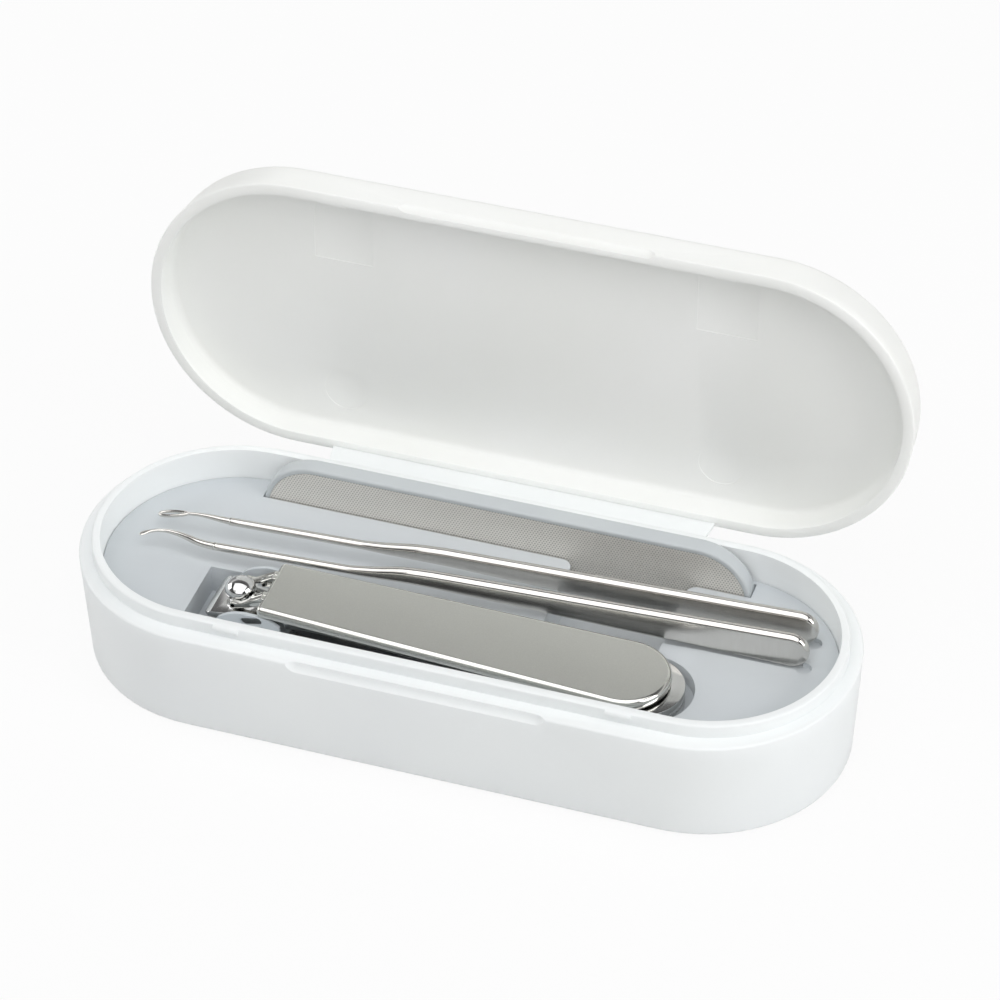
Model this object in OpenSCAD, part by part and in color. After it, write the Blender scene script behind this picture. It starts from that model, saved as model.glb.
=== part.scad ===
// Hinged travel case for hand and foot care: an oblong box with a fitted tray, a foot rasp,
// two slim steel hand tools and a lever nail clipper. Millimetres, +Z up. The origin is the
// middle of the base's underside, +X runs along the case and +Y points to the hinge.

/* [Case] */
// Length of the case over its round ends
case_l = 130; // [124:1:150]
// Width of the case
case_w = 50.4; // [48:0.2:60]
// Height of the base, up to the ledge that the lid closes on
base_h = 19.2; // [18:0.1:24]
// Height of the lid
lid_h = 7.6; // [7.4:0.1:12]
// Thickness of the base's floor
floor_t = 2; // [1.2:0.1:3]
// How far the base narrows from the ledge to its underside, on each side
base_draft = 0.9; // [0:0.1:1.5]
// How far the lid narrows from its rim to its top, on each side
lid_draft = 0.55; // [0:0.05:1.2]
// Rounding of the base's bottom edge
bottom_edge_r = 0.8; // [0.3:0.1:1.6]
// Rounding of the lid's top edge
lid_edge_r = 1.4; // [0.5:0.1:2]
// Height of the lip that the lid closes over
lip_h = 2.3; // [1.5:0.1:3.5]
// Thickness of the lip
lip_t = 1.4; // [1:0.1:2.2]
// How far the lip stands in from the long sides
lip_side_in = 2.9; // [2.4:0.1:4]
// How far the lip stands in from the round ends
lip_end_in = 2.1; // [2:0.1:4]
// Thickness of the lid's side wall
lid_wall = 1.85; // [1.2:0.05:2]
// Thickness of the lid's flat top
lid_roof = 2.85; // [1.5:0.05:3]

/* [Hinge and catches] */
// How far the hinge line lies behind the base's back wall
hinge_back = 1.34; // [1:0.02:3]
// How far the hinge line lies below the ledge
hinge_drop = 2; // [1:0.1:4]
// Angle that the lid stands open at, as shown
lid_open = 92.9; // [60:0.1:110]
// Width of the thin hinge web along the case
web_w = 65.4; // [40:0.2:80]
// Thickness of the hinge web
web_t = 0.5; // [0.3:0.05:0.8]
// Distance of each catch from the middle of the case
catch_x = 32.5; // [20:0.5:36]
// Width of each catch
catch_w = 4.2; // [2:0.1:8]
// Length of the thumb scoop across the parting line
scoop_l = 43; // [20:1:60]
// Depth of the thumb scoop
scoop_depth = 0.8; // [0.3:0.05:1.2]
// Radius of the thumb scoop's section
scoop_r = 2.2; // [1.5:0.1:4]

/* [Tray] */
// Depth of the tray's top below the ledge
tray_drop = 3.45; // [2.5:0.05:4]
// Thickness of the tray's top and pocket floors
tray_t = 1.6; // [1.2:0.1:2]
// Thickness of the tray's skirt and pocket walls
tray_wall = 1.2; // [0.8:0.1:1.5]
// Gap between the tray and the base's inner wall
tray_gap = 0.15; // [0.05:0.05:0.4]
// Tray left standing between the rasp's slot and the tray's back edge
back_land = 0.95; // [0.8:0.05:3]
// Length of the finger trough along the case
trough_l = 19.6; // [16:0.2:24]
// Middle of the finger trough along the case
trough_x = 22.7; // [20:0.1:24]
// Depth of the finger trough
trough_depth = 6.8; // [5:0.1:9]
// Rounding of the trough's corners at the tray's surface
trough_r = 2; // [1:0.1:2.5]

/* [Foot rasp] */
// Length of the rasp
rasp_l = 83.9; // [70:0.1:92]
// Height of the rasp standing on its edge
rasp_h = 18.4; // [16:0.1:19.5]
// Thickness of the rasp
rasp_t = 3.1; // [2.4:0.1:4]
// Height of the rasp above the tray
rasp_show = 7.6; // [6:0.1:7.7]
// Offset of the rasp's middle along the case
rasp_x = 0.85; // [-2:0.05:2]
// Plain border of the rasp's body round each abrasive face
rasp_border = 0.85; // [0.5:0.05:2]
// Thickness of each abrasive face
screen_t = 0.3; // [0.2:0.05:0.5]
// Rounding of the rasp's outer edges
rasp_edge_r = 0.45; // [0.2:0.05:0.8]
// Clearance of the rasp in its slot, on each side
slot_gap = 0.2; // [0.1:0.05:0.4]

/* [Hand tools] */
// Room between the tools' handle ends and the tray's end
tool_end_in = 5.25; // [4:0.05:8]
// Room between the tools' tips and the tray's other end
tool_tip_in = 6.45; // [5:0.05:12]
// Height of a tool's handle at its round end
handle_h = 6.4; // [5:0.1:7]
// Thickness of a tool's handle
handle_t = 1.9; // [1.2:0.1:2.5]
// Length of the tapered handle
handle_l = 76; // [65:1:80]
// Diameter of a tool's round shank
shank_d = 1.45; // [1.2:0.05:1.8]
// How deep the handle's round end sits in the tray
handle_sink = 0.85; // [0.5:0.05:1.2]
// Distance from the clipper's middle line back to the front tool's handle end
front_tool_back = 13.6; // [12.5:0.1:14]
// Distance between the two handle ends
tool_pitch = 5.5; // [5:0.1:6]
// Turn of the rear tool against the long side, in degrees
rear_tool_turn = 2.6; // [2:0.1:3]
// Turn of the front tool against the long side, in degrees
front_tool_turn = 3.0; // [2.4:0.1:3.4]

/* [Nail clipper] */
// Length of the clipper from its cutting edges to its tail
clipper_l = 79; // [76:0.1:82]
// Distance from the tray's front edge to the clipper's middle line
clipper_front = 10.95; // [10.5:0.05:12]
// Half of the height where the two cutting edges stand apart
jaw_gap_half = 1.05; // [1.05:0.05:1.25]
// Thickness of each spring blade
blade_t = 1.7; // [1.4:0.05:1.9]
// Width of the cutting head
head_w = 9.4; // [8.6:0.1:10.8]
// Width of the tail
tail_w = 14.4; // [12:0.1:15]
// Width of the lever at its pressing end
lever_tail_w = 15.2; // [13:0.1:15.6]
// Width of the lever at its neck end
lever_neck_w = 12.4; // [11:0.1:13]
// Thickness of the lever
lever_t = 1.65; // [1.4:0.05:1.75]
// Rounding of the lever's upper edge
lever_edge_r = 0.55; // [0.3:0.05:0.9]
// Slope of the stowed lever down to its pressing end, in degrees
lever_slope = 1.9; // [1.5:0.1:2.2]
// Diameter of the post that joins blades and lever
post_d = 2.5; // [2:0.1:2.8]
// Diameter of the post's polished head
post_head_d = 5.08; // [4.4:0.02:5.3]
// Diameter of the cross pin that the lever turns on
pin_d = 0.7; // [0.5:0.05:0.8]
// Running clearance of pins in their bores
run_gap = 0.05; // [0.02:0.01:0.08]

/* [Hidden] */

$fn = 64;
eps = 0.01;
big = 400;

// Cavity of the base and outline of the tray
cavity_l = case_l - 2 * (lip_end_in + lip_t);
cavity_w = case_w - 2 * (lip_side_in + lip_t);
tray_l = cavity_l - 2 * tray_gap;
tray_w = cavity_w - 2 * tray_gap;
tray_top = base_h - tray_drop;
tray_bottom = floor_t + 0.05;
lid_top = base_h + lid_h;

// Hinge line
hinge_y = case_w / 2 + hinge_back;
hinge_z = base_h - hinge_drop;

// Rasp, from the back of the tray forwards
rasp_back_y = tray_w / 2 - back_land - slot_gap;
rasp_front_y = rasp_back_y - rasp_t;
rasp_top_z = tray_top + rasp_show;
rasp_mid_z = rasp_top_z - rasp_h / 2;

// Rows of the clipper and the tools, measured from the tray's front edge
clip_y = clipper_front - tray_w / 2;
front_tool_y = clip_y + front_tool_back;
rear_tool_y = front_tool_y + tool_pitch;
handle_mid_z = tray_top - handle_sink + handle_h / 2;
tool_end_x = tray_l / 2 - tool_end_in;
tool_l = tray_l - tool_end_in - tool_tip_in;

// Clipper: the two blades mirror each other about clip_mid_z
tail_end_x = 39.4;
jaw_x = tail_end_x - clipper_l;
tail_mid_x = tail_end_x - tail_w / 2;
rivet_x = tail_mid_x;
rivet_d = 2.4;
clip_mid_z = tray_top - 1.2;
blade_gap = 0.06;
deck_x = jaw_x + 1.2;
post_x = jaw_x + 4.7;
head_end_x = jaw_x + 13.6;
bow_x = jaw_x + 23.2;
bow_rise = 2.1;
post_dip = 1.7;
jaw_close = 1.6;
squeeze_x = rivet_x;
lip_edge_r = 0.35;
ledge_r = 0.4;

// Lever, which turns on the cross pin in the post
lever_pin_z = clip_mid_z + deck() + 0.87;
lever_end_x = tail_end_x - 2.2;
lever_left_x = post_x + 4.9;
lever_top_left_z = tray_top + 4.95;
arm_r = 0.6;
arm_w = 1.03;
arm_slot = post_head_d + 0.16;

// Points of a quarter round, from angle a to b, as [inset, height]
function round_pts(inset, z, r, a, b, n = 5) =
    [for (i = [0:n]) let (t = a + (b - a) * i / n) [inset - r * cos(t), z + r * sin(t)]];

// Where a point of the closed lid lies once the lid is open
function opened(y, z) = let (dy = y - hinge_y, dz = z - hinge_z) [
    hinge_y + dy * cos(lid_open) + dz * sin(lid_open),
    hinge_z - dy * sin(lid_open) + dz * cos(lid_open),
];

// Oblong solid with round ends. edge lists [inset, height] up its wall.
module oblong(l, w, edge) {
    half = [for (p = edge) [w / 2 - p[0], p[1]]];
    low = edge[0][1];
    high = edge[len(edge) - 1][1];
    run = (l - w) / 2;
    for (turn = [0, 180]) rotate(turn) translate([run, 0, 0]) rotate(-90)
        rotate_extrude(angle = 180, $fn = 96) polygon(concat([[0, low]], half, [[0, high]]));
    rotate([90, 0, 90]) linear_extrude(2 * run, center = true)
        polygon(concat(half, [for (i = [len(half) - 1:-1:0]) [-half[i][0], half[i][1]]]));
}

// Oblong block with upright walls
module oblong_block(l, w, low, high) {
    oblong(l, w, [[0, low], [0, high]]);
}

// Recess for a thumb nail across the parting line of base and lid
module thumb_scoop() {
    reach = scoop_l / 2 - scoop_r * 0.78;
    translate([0, -(case_w / 2 + scoop_r - scoop_depth), base_h]) {
        rotate([0, 90, 0]) cylinder(r = scoop_r, h = 2 * reach, center = true);
        for (s = [-1, 1]) translate([s * reach, 0, 0]) sphere(r = scoop_r);
    }
}

module base_shell() {
    lip_l = cavity_l + 2 * lip_t;
    lip_w = cavity_w + 2 * lip_t;
    lip_top = base_h + lip_h;
    color("white") difference() {
        union() {
            difference() {
                oblong(case_l, case_w, concat(
                    round_pts(base_draft + bottom_edge_r, bottom_edge_r, bottom_edge_r, -90, 0),
                    round_pts(ledge_r, base_h - ledge_r, ledge_r, 0, 90, 3)));
                thumb_scoop();
            }
            oblong(lip_l, lip_w, concat([[0, floor_t]],
                round_pts(lip_edge_r, lip_top - lip_edge_r, lip_edge_r, 0, 90, 3)));
            for (s = [-1, 1]) translate([s * catch_x, 0.2 - lip_w / 2, base_h + 1.55])
                rotate([0, 90, 0]) cylinder(r = 0.6, h = catch_w, center = true, $fn = 32);
        }
        oblong_block(cavity_l, cavity_w, floor_t, base_h + lip_h + 1);
    }
}

// The lid as it lies when closed, rim down on the ledge
module lid_closed() {
    roof_z = lid_top - lid_roof;
    inner_l = case_l - 2 * lid_wall;
    inner_w = case_w - 2 * lid_wall;
    hook_y = -inner_w / 2;
    difference() {
        oblong(case_l, case_w, concat(
            round_pts(0.3, base_h + 0.3, 0.3, -90, 0, 2),
            round_pts(lid_draft + lid_edge_r, lid_top - lid_edge_r, lid_edge_r, 0, 90)));
        oblong(inner_l, inner_w, concat([[0, base_h - 1]],
            round_pts(1.1, roof_z - 1, 1, 0, 90, 3)));
        thumb_scoop();
        // Marks that the mould's slides and ejector pins leave in the roof
        for (s = [-1, 1]) {
            translate([s * catch_x - 5, hook_y + 2.2, roof_z - 1]) cube([10, 11.6, 1.12]);
            translate([s * catch_x, inner_w / 2 - 7.3, roof_z - 1]) cylinder(d = 7.6, h = 1.1);
        }
    }
    for (s = [-1, 1]) translate([s * catch_x - catch_w / 2, hook_y - 0.3, base_h + 0.3])
        cube([catch_w, 0.75, 0.8]);
}

module lid_shell() {
    color("white") translate([0, hinge_y, hinge_z]) rotate([-lid_open, 0, 0])
        translate([0, -hinge_y, -hinge_z]) lid_closed();
}

// Thin flexible strap between the back walls of base and lid
module hinge_web() {
    low = base_h - ledge_r - web_t;
    wall_y = case_w / 2 + 0.005;
    lid_low = opened(case_w / 2 - 0.25, base_h - 0.02);
    lid_high = opened(case_w / 2 - 0.25 - web_t, base_h - 0.02);
    flare = 0.6;
    color("white") intersection() {
        rotate([90, 0, 90]) linear_extrude(web_w + 4, center = true)
            polygon([[wall_y, low], lid_low, lid_high, [wall_y, low + web_t]]);
        linear_extrude(big, center = true) polygon([
            [-web_w / 2, wall_y - 1], [web_w / 2, wall_y - 1],
            [web_w / 2 + flare, lid_high[0] + 1], [-web_w / 2 - flare, lid_high[0] + 1]]);
    }
}

// Outline of the clipper's pocket, grown by g
module clipper_outline(g = 0) {
    left = jaw_x - 3.2 - g;
    right = tail_mid_x + 0.8;
    end_r = tail_w / 2 + 0.8 + g;
    side = end_r - 0.04;
    translate([0, clip_y]) {
        polygon([[left, -6.75 - g], [right, -side], [right, side], [left, 6.75 + g]]);
        translate([right, 0]) circle(end_r);
    }
}

// Outline of the finger trough, grown by g
module trough_outline(g = 0) {
    front = clip_y + 6;
    translate([trough_x - trough_l / 2 - g, front])
        square([trough_l + 2 * g, rasp_front_y + slot_gap - front]);
}

// Cut that rounds a corner of the trough where it runs out into a slot or pocket
module corner_cut(x, y, sx, sy) {
    translate([x, y]) scale([sx, sy]) difference() {
        translate([-eps, -eps]) square(trough_r + eps);
        translate([trough_r - 0.03, trough_r - 0.03]) circle(trough_r);
    }
}

// Slot under a tool's handle. Its round end lies to one side, so the handle can rock in it.
module handle_slot(y, turn, side) {
    width = handle_t + 0.5;
    end_r = 1.35;
    translate([tool_end_x, y, tray_top - handle_sink - 0.02]) {
        rotate(turn) translate([-26, -width / 2, 0]) cube([25, width, 5]);
        translate([-24, -side - 0.55 * end_r, 0]) cube([23.4, end_r, 5]);
        translate([-0.6, -side, 0]) cylinder(r = end_r, h = 5, $fn = 32);
    }
}

module tray_insert() {
    rasp_slot_l = rasp_l + slot_gap;
    slot_y = rasp_front_y - slot_gap;
    slot_w = rasp_t + 2 * slot_gap;
    slot_floor = rasp_top_z - rasp_h - 0.05;
    pocket_floor = clip_mid_z - blade_t - bow_rise - 0.1;
    tail_floor = clip_mid_z - blade_t - blade_gap / 2 - 0.05;
    tail_step_x = squeeze_x - 3.5;
    trough_floor = tray_top - trough_depth;
    left = trough_x - trough_l / 2;
    right = trough_x + trough_l / 2;
    pocket_edge = clip_y + 7.75;
    color("lightsteelblue") difference() {
        union() {
            oblong_block(tray_l, tray_w, tray_top - tray_t, tray_top);
            difference() {
                oblong_block(tray_l, tray_w, tray_bottom, tray_top - tray_t / 2);
                oblong_block(tray_l - 2 * tray_wall, tray_w - 2 * tray_wall,
                    tray_bottom - 1, tray_top);
            }
            intersection() {
                translate([0, 0, tray_bottom]) linear_extrude(tray_top - tray_t / 2 - tray_bottom) {
                    clipper_outline(tray_wall);
                    trough_outline(tray_wall);
                    translate([rasp_x - rasp_slot_l / 2 - tray_wall, slot_y - tray_wall])
                        square([rasp_slot_l + 2 * tray_wall, slot_w + tray_wall + back_land]);
                }
                oblong_block(tray_l, tray_w, tray_bottom, tray_top);
            }
        }
        // Clipper pocket, with a raised step under the tail
        translate([0, 0, tail_floor]) linear_extrude(big) clipper_outline();
        translate([0, 0, pocket_floor]) linear_extrude(big) intersection() {
            clipper_outline();
            translate([tail_step_x - big, -big / 2]) square(big);
        }
        translate([0, 0, tray_bottom - 1]) linear_extrude(pocket_floor - tray_wall - tray_bottom + 1)
            clipper_outline();
        // Finger trough with rounded corners at the tray's surface
        translate([0, 0, trough_floor]) linear_extrude(big) {
            trough_outline();
            corner_cut(left, rasp_front_y - slot_gap, -1, -1);
            corner_cut(right, rasp_front_y - slot_gap, 1, -1);
            corner_cut(left, pocket_edge, -1, 1);
            corner_cut(right, pocket_edge, 1, 1);
        }
        translate([0, 0, tray_bottom - 1]) linear_extrude(trough_floor - tray_wall - tray_bottom + 1)
            intersection() {
                trough_outline();
                translate([-big / 2, clip_y + 10]) square([big, rasp_front_y - clip_y - 12]);
            }
        // Slots for the rasp and for the two handles
        translate([rasp_x - rasp_slot_l / 2, slot_y, slot_floor]) cube([rasp_slot_l, slot_w, big]);
        handle_slot(rear_tool_y, rear_tool_turn, 0.6);
        handle_slot(front_tool_y, front_tool_turn, 1.35);
    }
}

// Disc of the rasp's end, with rounded rims, standing on edge
module rasp_end(r, t, edge) {
    rotate([90, 0, 0]) rotate_extrude(angle = 180) polygon(concat(
        [[0, -t / 2]],
        [for (i = [0:3]) let (a = -90 + 30 * i) [r - edge + edge * cos(a), -t / 2 + edge + edge * sin(a)]],
        [for (i = [0:3]) let (a = 30 * i) [r - edge + edge * cos(a), t / 2 - edge + edge * sin(a)]],
        [[0, t / 2]]));
}

module rasp_body() {
    run = (rasp_l - rasp_h) / 2;
    r = rasp_h / 2;
    e = rasp_edge_r;
    face_r = r - rasp_border;
    color("darkgray") translate([rasp_x, rasp_front_y + rasp_t / 2, rasp_mid_z]) difference() {
        union() {
            for (s = [0, 180]) rotate([0, s, 0]) translate([run, 0, 0]) rotate([0, 90, 0])
                rasp_end(r, rasp_t, e);
            rotate([90, 0, 90]) linear_extrude(2 * run, center = true) polygon([
                for (c = [[1, 1], [-1, 1], [-1, -1], [1, -1]], i = [0:3])
                let (a = (c[0] * c[1] > 0 ? 30 * i : 90 - 30 * i))
                [c[0] * (rasp_t / 2 - e + e * cos(a)), c[1] * (r - e + e * sin(a))]]);
        }
        for (s = [-1, 1]) translate([0, s * (rasp_t / 2 - screen_t + 5), 0])
            face_plate(2 * run, face_r, 10);
    }
}

// Oblong plate standing on edge, centred on its middle
module face_plate(run, r, t) {
    rotate([90, 0, 0]) linear_extrude(t, center = true) {
        square([run, 2 * r], center = true);
        for (s = [-1, 1]) translate([s * run / 2, 0]) circle(r);
    }
}

module rasp_screen() {
    color("gainsboro") translate([rasp_x, rasp_front_y + screen_t / 2, rasp_mid_z])
        face_plate(rasp_l - rasp_h, rasp_h / 2 - rasp_border - 0.05, screen_t);
}

module rasp_pad() {
    color("dimgray") translate([rasp_x, rasp_back_y - screen_t / 2, rasp_mid_z])
        face_plate(rasp_l - rasp_h, rasp_h / 2 - rasp_border - 0.05, screen_t);
}

// Flat disc on edge with a fully rounded rim, radius r, for the handles
module round_rim_disc(r) {
    e = handle_t / 2;
    rotate([90, 0, 0]) rotate_extrude($fn = 32) polygon(concat(
        [[0, -e]], [for (i = [0:6]) let (a = -90 + 30 * i) [r - e + e * cos(a), e * sin(a)]], [[0, e]]));
}

// Tapered handle, round shank and faceted neck. The handle's round end is at the origin, the
// tool runs along -X and the shank lies shank_up above the middle of the handle's end.
module tool_stem(shank_up, stem_l, neck_l, neck_r) {
    r = handle_h / 2;
    shank_r = shank_d / 2;
    hull() {
        translate([-r, 0, 0]) round_rim_disc(r);
        translate([14 - handle_l, 0, r - 1.6]) round_rim_disc(1.6);
        translate([-handle_l, 0, shank_up]) sphere(r = shank_r - 0.03, $fn = 24);
    }
    translate([-handle_l, 0, shank_up]) rotate([0, -90, 0])
        cylinder(r1 = shank_r, r2 = shank_r * 0.85, h = stem_l - handle_l, $fn = 32);
    translate([-stem_l, 0, shank_up]) rotate([0, -90, 0])
        cylinder(r1 = shank_r * 0.94, r2 = neck_r, h = neck_l, $fn = 8);
}

// Round wire bent to an arc. It starts at the origin along -X; a positive turn bends it to +Y.
module bent_wire(wire_r, bend_r, turn) {
    s = sign(turn);
    translate([0, s * bend_r, 0]) rotate(s > 0 ? 270 - turn : 90)
        rotate_extrude(angle = abs(turn), $fn = 96) translate([bend_r, 0]) circle(wire_r, $fn = 20);
}

// Ball that joins two lengths of wire
module wire_joint(wire_r) {
    sphere(r = wire_r * 1.02, $fn = 24);
}

module loop_extractor() {
    neck_l = 8.5;
    wire_r = 0.27;
    eye_l = 5.2;
    eye_r = 0.6;
    stem_l = tool_l - neck_l - eye_l;
    shank_up = 1.05;
    dip = 12.5;
    // The eye is a slim drop of round wire. Its two sides meet at the end of the neck.
    run = eye_l - eye_r - wire_r;
    half = asin(eye_r / run);
    side_l = run * cos(half);
    color("silver") translate([tool_end_x, rear_tool_y, handle_mid_z]) rotate(rear_tool_turn) {
        tool_stem(shank_up, stem_l, neck_l, wire_r - 0.02);
        translate([0.1 - stem_l - neck_l, 0, shank_up]) rotate([0, -dip, 0]) {
            sphere(r = wire_r * 1.25, $fn = 24);
            for (s = [-1, 1]) rotate(s * half) {
                rotate([0, -90, 0]) cylinder(r = wire_r, h = side_l, $fn = 20);
                translate([-side_l, 0, 0]) wire_joint(wire_r);
            }
            translate([-run, 0, 0]) rotate(90 - half)
                rotate_extrude(angle = 180 + 2 * half, $fn = 64) translate([eye_r, 0])
                    circle(wire_r, $fn = 20);
        }
    }
}

module ear_pick() {
    neck_l = 3.4;
    wire_r = 0.42;
    stem_l = tool_l - 12;
    shank_up = 0.6;
    // Bends in turn: out, straight, back level and down to the scoop
    turn = 17;
    bends = [12, 9, 4];
    straight = 1.2;
    dip = 30;
    start = -stem_l - neck_l;
    out = [start - bends[0] * sin(turn), bends[0] * (1 - cos(turn))];
    back = out + straight * [-cos(turn), sin(turn)];
    crest = back + bends[1] * [-sin(turn), 1 - cos(turn)];
    tip = crest + bends[2] * [-sin(dip), cos(dip) - 1];
    color("silver") translate([tool_end_x, front_tool_y, handle_mid_z]) rotate(front_tool_turn) {
        tool_stem(shank_up, stem_l, neck_l, wire_r - 0.04);
        translate([0, 0, shank_up]) {
            translate([start, 0, 0]) bent_wire(wire_r, bends[0], turn);
            translate(back) rotate([0, 90, -turn]) cylinder(r = wire_r, h = straight, $fn = 20);
            translate(back) rotate(-turn) bent_wire(wire_r, bends[1], -turn);
            translate(crest) bent_wire(wire_r, bends[2], -dip);
            for (p = [[start, 0], out, back, crest, tip]) translate(p) wire_joint(wire_r);
            // Slim dished scoop
            translate(tip) rotate(dip) translate([-0.55, 0.05, 0]) difference() {
                intersection() {
                    translate([0, 0.62, 0]) sphere(r = 1.02);
                    translate([0, -0.62, 0]) sphere(r = 1.02);
                }
                translate([-0.15, -1, 0]) sphere(r = 0.8);
            }
        }
    }
}

// Height of a blade's inner face over the clipper's mid plane, along the clipper
function inner_rise(x) =
    x >= squeeze_x ? blade_gap / 2 :
    x >= bow_x ? blade_gap / 2 + bow_rise * (1 - cos(180 * (squeeze_x - x) / (squeeze_x - bow_x))) / 2 :
    blade_gap / 2 + bow_rise - post_dip * pow((bow_x - x) / (bow_x - deck_x), 1.35);

// How far the upper blade comes down at x when the jaws are squeezed shut
function squeeze_drop(x) = (squeeze_x - x) * tan(jaw_close);

// The head is ground hollow, so that the cutting edges meet before the blades do
function inner_face(x) = max(inner_rise(x), x < bow_x ? squeeze_drop(x) / 2 + 0.03 : 0);

// Side view of the upper blade: bowed spring with a turned-down cutting head
module blade_side() {
    steps = 30;
    back = tail_end_x + 1;
    front = deck_x;
    xs = [for (i = [0:steps]) back + (front - back) * i / steps];
    polygon(concat(
        [for (x = xs) [x, inner_rise(x) + blade_t]],
        [[jaw_x, jaw_gap_half + 0.4], [jaw_x, jaw_gap_half]],
        [for (i = [steps:-1:0]) [xs[i], inner_face(xs[i])]]));
}

// Plan of a blade: square head with a straight cutting edge, slimmer arms and a round tail
module blade_plan(tail_d) {
    h = head_w / 2;
    difference() {
        union() {
            polygon([[jaw_x - 1, 1.7 - h], [jaw_x + 0.7, -h], [head_end_x, -h], [head_end_x + 3, 0.4 - h],
                [tail_mid_x, -tail_d / 2], [tail_mid_x, tail_d / 2],
                [head_end_x + 3, h - 0.4], [head_end_x, h], [jaw_x + 0.7, h], [jaw_x - 1, h - 1.7]]);
            translate([tail_mid_x, 0]) circle(d = tail_d, $fn = 96);
        }
        translate([jaw_x - 20, -20]) square([20, 40]);
    }
}

// A blade in the clipper's own frame, with its mid plane at z = 0 and a hole for the post
module blade(tail_d, hole_d, rivet_hole_d) {
    difference() {
        intersection() {
            rotate([90, 0, 0]) linear_extrude(30, center = true) blade_side();
            linear_extrude(20) blade_plan(tail_d);
        }
        translate([post_x, 0, -1]) cylinder(d = hole_d, h = 12, $fn = 48);
        translate([rivet_x, 0, -1]) cylinder(d = rivet_hole_d, h = 12, $fn = 48);
    }
}

// Moves a piece from the clipper's own frame into the case
module in_clipper() {
    translate([0, clip_y, clip_mid_z]) children();
}

module clipper_upper_blade() {
    color("silver") in_clipper() blade(tail_w, post_d + 0.9, rivet_d + 0.14);
}

module clipper_lower_blade() {
    ridges = 26;
    color("silver") in_clipper() difference() {
        mirror([0, 0, 1]) blade(tail_w, post_d, rivet_d);
        // Ridges round the tail, for grip
        for (i = [0:ridges - 1]) let (a = -78 + 156 * i / (ridges - 1))
            translate([tail_mid_x, 0, 0]) rotate(a) translate([tail_w / 2 + 0.12, 0, -5])
                cylinder(r = 0.28, h = 6, $fn = 16);
    }
}

module clipper_tail_rivet() {
    top = blade_t + blade_gap / 2;
    color("gainsboro") in_clipper() translate([rivet_x, 0, 0]) {
        translate([0, 0, -top]) cylinder(d = rivet_d, h = 2 * top + 0.1, $fn = 48);
        translate([0, 0, top + 0.08]) cylinder(d1 = rivet_d + 1.2, d2 = rivet_d + 0.6, h = 0.12, $fn = 48);
    }
}

// Height over the mid plane of the upper blade's top face beside the post
function deck() = inner_rise(post_x) + blade_t;

// Slope of the upper blade's top face beside the post, in degrees
function deck_slope() = atan(post_dip * 1.35 / (bow_x - deck_x)
    * pow((bow_x - post_x) / (bow_x - deck_x), 0.35));

// Post with a squat ball for its head, which the cross pin passes through
module clipper_post() {
    head_low = deck() + 0.46;
    lower_rim = -deck() - 0.2;
    r = post_head_d / 2;
    half_h = 1.96;
    side = head_low + 1.06;
    low_angle = asin((head_low - side) / half_h);
    color("gainsboro") in_clipper() translate([post_x, 0, 0]) difference() {
        union() {
            translate([0, 0, lower_rim - 0.1])
                cylinder(d = post_d, h = head_low - lower_rim + 0.3, $fn = 48);
            translate([0, 0, lower_rim - 0.5])
                cylinder(d1 = post_d + 0.6, d2 = post_d + 1.2, h = 0.5);
            rotate_extrude() polygon(concat([[0, head_low]],
                [for (i = [0:19]) let (a = low_angle + (90 - low_angle) * i / 20)
                    [r * cos(a), side + half_h * sin(a)]],
                [[0, side + half_h]]));
        }
        translate([0, 0, lever_pin_z - clip_mid_z]) rotate([90, 0, 0])
            cylinder(d = pin_d, h = 10, center = true, $fn = 32);
    }
}

// Bright collar that lies on the sloping upper blade round the post
module clipper_post_washer() {
    bore = post_d / 2 + run_gap + 0.05;
    outer = post_head_d / 2 - 0.54;
    color("gainsboro") in_clipper() translate([post_x, 0, deck() + 0.06]) rotate([0, -deck_slope(), 0])
        rotate_extrude() polygon([[bore, 0], [outer, 0], [outer, 0.08], [outer - 0.07, 0.15], [bore, 0.15]]);
}

module clipper_lever_pin() {
    color("gainsboro") translate([post_x, clip_y, lever_pin_z]) rotate([90, 0, 0])
        cylinder(d = pin_d, h = arm_slot + 2 * arm_w, center = true, $fn = 32);
}

// Low disc with a rounded upper rim, for the corners of the lever's plate
module lever_corner(r) {
    e = lever_edge_r;
    rotate_extrude($fn = 48) polygon(concat([[0, 0], [r - 0.15, 0], [r, 0.15]],
        [for (i = [0:4]) let (a = 22.5 * i) [r - e + e * cos(a), lever_t - e + e * sin(a)]],
        [[0, lever_t]]));
}

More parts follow.
